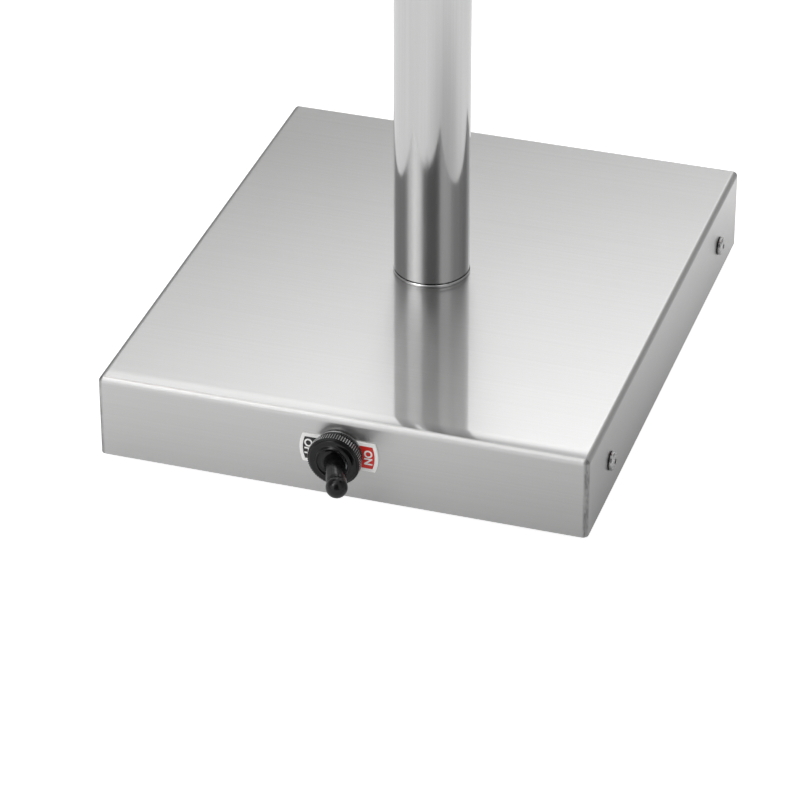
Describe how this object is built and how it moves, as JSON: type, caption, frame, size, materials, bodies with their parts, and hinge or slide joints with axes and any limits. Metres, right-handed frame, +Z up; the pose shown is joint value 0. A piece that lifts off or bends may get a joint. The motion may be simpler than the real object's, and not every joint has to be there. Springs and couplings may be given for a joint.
{
  "type": "food heat lamp",
  "caption": "Freestanding food heat lamp: brushed steel base with a toggle switch, telescopic column, and a crossbar with tilting bell shades over infrared bulbs.",
  "frame": {"origin": "on the floor under the column's axis, at the middle of the base", "axes": "+X right seen from the switch side, +Y to the back, +Z up"},
  "size_m": [0.5786, 0.2934, 0.619],
  "materials": {
    "base_steel": "brushed along the width",
    "polished_steel": "polished",
    "screw_steel": "satin",
    "zinc_steel": "zinc plated",
    "ballast_iron": "primed",
    "black_rubber": "matt",
    "black_nut": "black oxide",
    "black_plastic": "moulded",
    "white_plastic": "moulded",
    "guide_plastic": "turned acetal",
    "lead_sleeve": "extruded",
    "contact_brass": "plain",
    "legend_metal": "printed",
    "head_aluminium": "polished casting",
    "shade_aluminium": "spun and polished",
    "holder_ceramic": "glazed",
    "bulb_glass": "ruby, clear"
  },
  "bodies": {
    "stand": {"base_shell": "base_steel", "bottom_tray": "zinc_steel", "side_screws": "screw_steel", "clinch_nuts": "zinc_steel", "rubber_feet": "black_rubber", "ballast_plate": "ballast_iron", "ballast_screws": "zinc_steel", "terminal_block": "white_plastic", "terminal_block_screws": "zinc_steel", "earth_stud": "contact_brass", "switch_leads": "lead_sleeve", "lamp_leads": "lead_sleeve", "switch_body": "black_plastic", "switch_terminals": "contact_brass", "switch_bushing": "zinc_steel", "switch_lever_pin": "screw_steel", "switch_lock_washer": "zinc_steel", "switch_inner_nut": "zinc_steel", "legend_plate": "legend_metal", "boot_nut": "black_nut", "switch_boot": "black_rubber", "gland_body": "black_plastic", "gland_lock_nut": "black_plastic", "gland_dome_nut": "black_plastic", "gland_seal": "black_rubber", "column_foot": "polished_steel", "column_tube": "polished_steel", "column_backing_plate": "zinc_steel", "column_washer": "zinc_steel", "column_nut": "zinc_steel", "column_bush": "black_plastic", "clamp_collar": "head_aluminium", "clamp_pad": "contact_brass"},
    "toggle": {"switch_lever": "screw_steel"},
    "clamp_screw": {"clamp_knob": "black_plastic", "clamp_stud": "screw_steel"},
    "lift": {"mast_guide": "guide_plastic"},
    "head": {"mast_rings": "screw_steel", "mast_tube": "polished_steel", "tee_block": "head_aluminium", "tee_screws": "screw_steel", "crossbar": "polished_steel", "tilt_screws": "screw_steel"},
    "left_lamp": {"left_elbow": "head_aluminium", "left_nipple": "contact_brass", "left_nipple_nut": "contact_brass", "left_shade": "shade_aluminium", "left_lamp_holder": "holder_ceramic", "left_contact_shell": "contact_brass", "left_bulb_cap": "contact_brass", "left_bulb": "bulb_glass"},
    "right_lamp": {"right_elbow": "head_aluminium", "right_nipple": "contact_brass", "right_nipple_nut": "contact_brass", "right_shade": "shade_aluminium", "right_lamp_holder": "holder_ceramic", "right_contact_shell": "contact_brass", "right_bulb_cap": "contact_brass", "right_bulb": "bulb_glass"}
  },
  "joints": [
    {"name": "toggle_throw", "type": "hinge", "parent": "stand", "child": "toggle", "pos_m": [0, -0.1255, 0.024], "axis": [0, 0, 1], "range_deg": [-41.6, 0], "deforming": ["switch_boot"]},
    {"name": "clamp_knob_turn", "type": "hinge", "parent": "stand", "child": "clamp_screw", "pos_m": [0, 0, 0.322], "axis": [1, 0, 0], "range_deg": [0, 360]},
    {"name": "mast_lift", "type": "slide", "parent": "stand", "child": "lift", "axis": [0, 0, 1], "range_m": [0, 0.15]},
    {"name": "mast_swivel", "type": "hinge", "parent": "lift", "child": "head", "pos_m": [0, 0, 0.3], "axis": [0, 0, 1], "range_deg": [-90, 90]},
    {"name": "left_lamp_tilt", "type": "hinge", "parent": "head", "child": "left_lamp", "pos_m": [0, 0, 0.6], "axis": [1, 0, 0], "range_deg": [-40, 40]},
    {"name": "right_lamp_tilt", "type": "hinge", "parent": "head", "child": "right_lamp", "pos_m": [0, 0, 0.6], "axis": [1, 0, 0], "range_deg": [-40, 40]}
  ]
}
